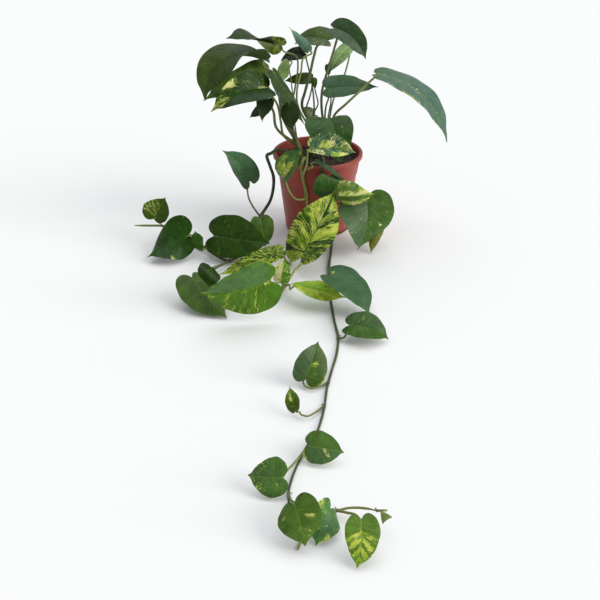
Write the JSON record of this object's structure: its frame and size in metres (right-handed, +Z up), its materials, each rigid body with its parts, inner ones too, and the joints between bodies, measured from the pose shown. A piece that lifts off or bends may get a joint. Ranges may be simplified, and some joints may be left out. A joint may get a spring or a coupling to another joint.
{
  "type": "potted pothos plant",
  "caption": "Pothos in a plain round nursery pot: a crown of heart-shaped leaves on upright stems, and trailing stems that come over the rim and lie along the surface.",
  "frame": {"origin": "centre of the pot's flat underside, on the surface that it stands on", "axes": "+Z up, along the pot's axis; -Y towards the viewer, the way the trailing stems run; +X to the viewer's right"},
  "size_m": [0.4397, 0.7815, 0.298],
  "materials": {
    "pot_plastic": "satin",
    "potting_mix": "matte",
    "stem_dark": "satin",
    "stem_light": "satin",
    "leaf_dark": "gloss",
    "leaf_deep": "gloss",
    "leaf_olive": "gloss",
    "leaf_pale": "gloss",
    "leaf_lime": "gloss",
    "leaf_cream": "gloss"
  },
  "bodies": {
    "root": {"pot": "pot_plastic", "soil": "potting_mix", "vine_left": "stem_dark", "vine_middle": "stem_light", "vine_long": "stem_dark", "crown_stem_left": "stem_dark", "crown_stem_middle": "stem_dark", "crown_stem_right": "stem_dark", "leaf_01": "leaf_dark", "leaf_02": "leaf_olive", "leaf_03": "leaf_dark", "leaf_04": "leaf_deep", "leaf_05": "leaf_olive", "leaf_06": "leaf_olive", "leaf_07": "leaf_lime", "leaf_08": "leaf_olive", "leaf_09": "leaf_dark", "leaf_10": "leaf_dark", "leaf_11": "leaf_dark", "leaf_12": "leaf_dark", "leaf_13": "leaf_dark", "leaf_14": "leaf_pale", "leaf_15": "leaf_olive", "leaf_16": "leaf_dark", "leaf_17": "leaf_dark", "leaf_18": "leaf_deep", "leaf_19": "leaf_pale", "leaf_20": "leaf_dark", "leaf_21": "leaf_deep", "leaf_22": "leaf_dark", "leaf_23": "leaf_cream", "leaf_24": "leaf_pale", "leaf_25": "leaf_dark", "leaf_26": "leaf_dark", "leaf_27": "leaf_dark", "leaf_28": "leaf_dark", "leaf_29": "leaf_dark", "leaf_30": "leaf_dark", "leaf_31": "leaf_lime", "leaf_32": "leaf_dark", "leaf_33": "leaf_olive", "leaf_34": "leaf_dark", "leaf_35": "leaf_dark", "leaf_36": "leaf_dark", "leaf_37": "leaf_dark", "leaf_38": "leaf_lime", "leaf_39": "leaf_olive", "leaf_40": "leaf_dark", "leaf_41": "leaf_dark", "leaf_42": "leaf_cream", "leaf_43": "leaf_lime", "leaf_44": "leaf_deep", "leaf_45": "leaf_dark", "leaf_46": "leaf_dark", "leaf_47": "leaf_dark", "leaf_48": "leaf_dark", "leaf_49": "leaf_dark", "leaf_50": "leaf_dark", "leaf_51": "leaf_dark"}
  },
  "joints": []
}
